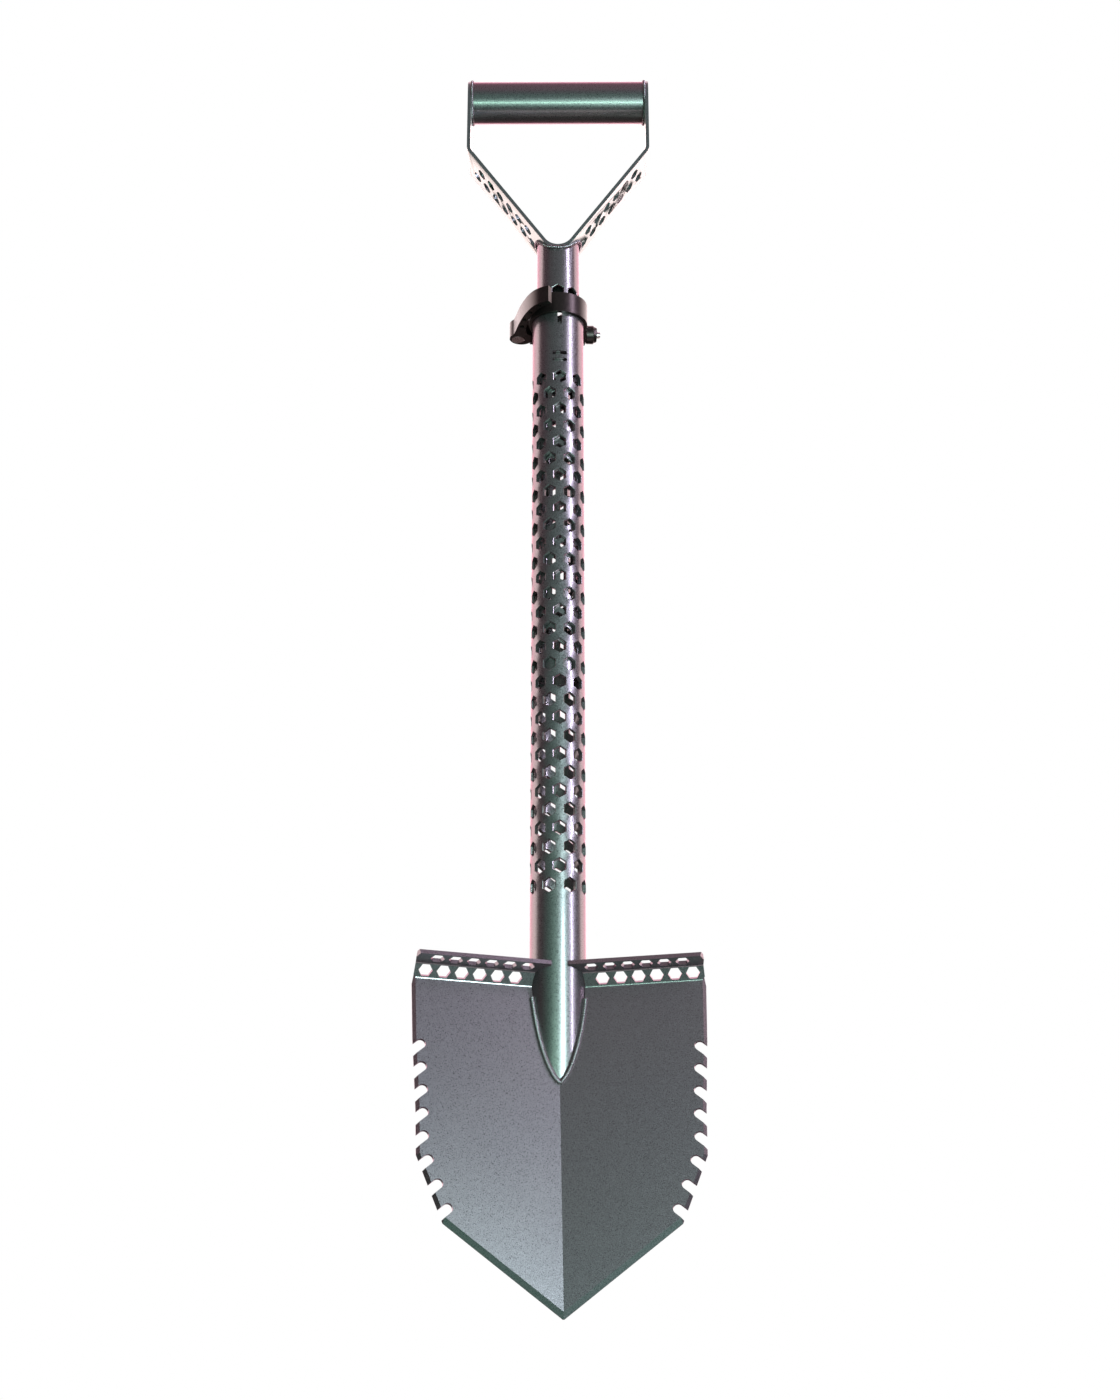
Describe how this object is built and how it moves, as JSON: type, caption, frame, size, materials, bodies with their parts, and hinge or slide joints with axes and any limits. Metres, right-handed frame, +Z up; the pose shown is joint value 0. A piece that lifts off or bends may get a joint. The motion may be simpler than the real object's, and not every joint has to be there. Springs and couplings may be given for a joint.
{
  "type": "detecting shovel",
  "caption": "Telescoping digging shovel: perforated tubes with a quick-release clamp, D-handle, and a pointed blade with notched sides and folded foot steps.",
  "frame": {"origin": "middle of the bounding box's foot: the blade's tip touches z = 0, and the shaft stands 10.2 mm behind the origin", "axes": "+Z up along the shaft from the blade to the handle, the blade's front face looks to -Y, +X to the right seen from the front"},
  "size_m": [0.194, 0.0884, 0.9115],
  "materials": {
    "paint": "colour-shift metallic paint, grey-green face on, violet-pink at grazing angles",
    "strap_paint": "the same colour-shift paint on the handle strap",
    "black": "black anodised, satin",
    "steel": "bright turned steel"
  },
  "bodies": {
    "shovel": {"blade": "paint", "outer_tube": "paint", "blade_weld_front": "paint", "blade_weld_back": "paint"},
    "handle": {"inner_tube": "paint", "handle_strap": "strap_paint", "strap_weld": "paint", "grip_tube": "paint", "grip_weld_left": "paint", "grip_weld_right": "paint"},
    "clamp": {"clamp_collar": "black", "cam_washer": "black", "clamp_bolt": "steel", "lever_pivot": "steel"},
    "lever": {"clamp_lever": "black"},
    "nut": {"adjusting_nut": "black"}
  },
  "joints": [
    {"name": "tube_slide", "type": "slide", "parent": "shovel", "child": "handle", "axis": [0, 0, 1], "range_m": [-0.028, 0.16]},
    {"name": "collar_turn", "type": "hinge", "parent": "shovel", "child": "clamp", "pos_m": [0, 0.01017, 0.70808], "axis": [0, 0, 1], "continuous": true},
    {"name": "lever_swing", "type": "hinge", "parent": "clamp", "child": "lever", "pos_m": [-0.0289, 0.03717, 0.70808], "axis": [0, 0, -1], "range_deg": [0, 130]},
    {"name": "nut_turn", "type": "hinge", "parent": "clamp", "child": "nut", "pos_m": [0.027, 0.03717, 0.70808], "axis": [1, 0, 0], "continuous": true}
  ]
}
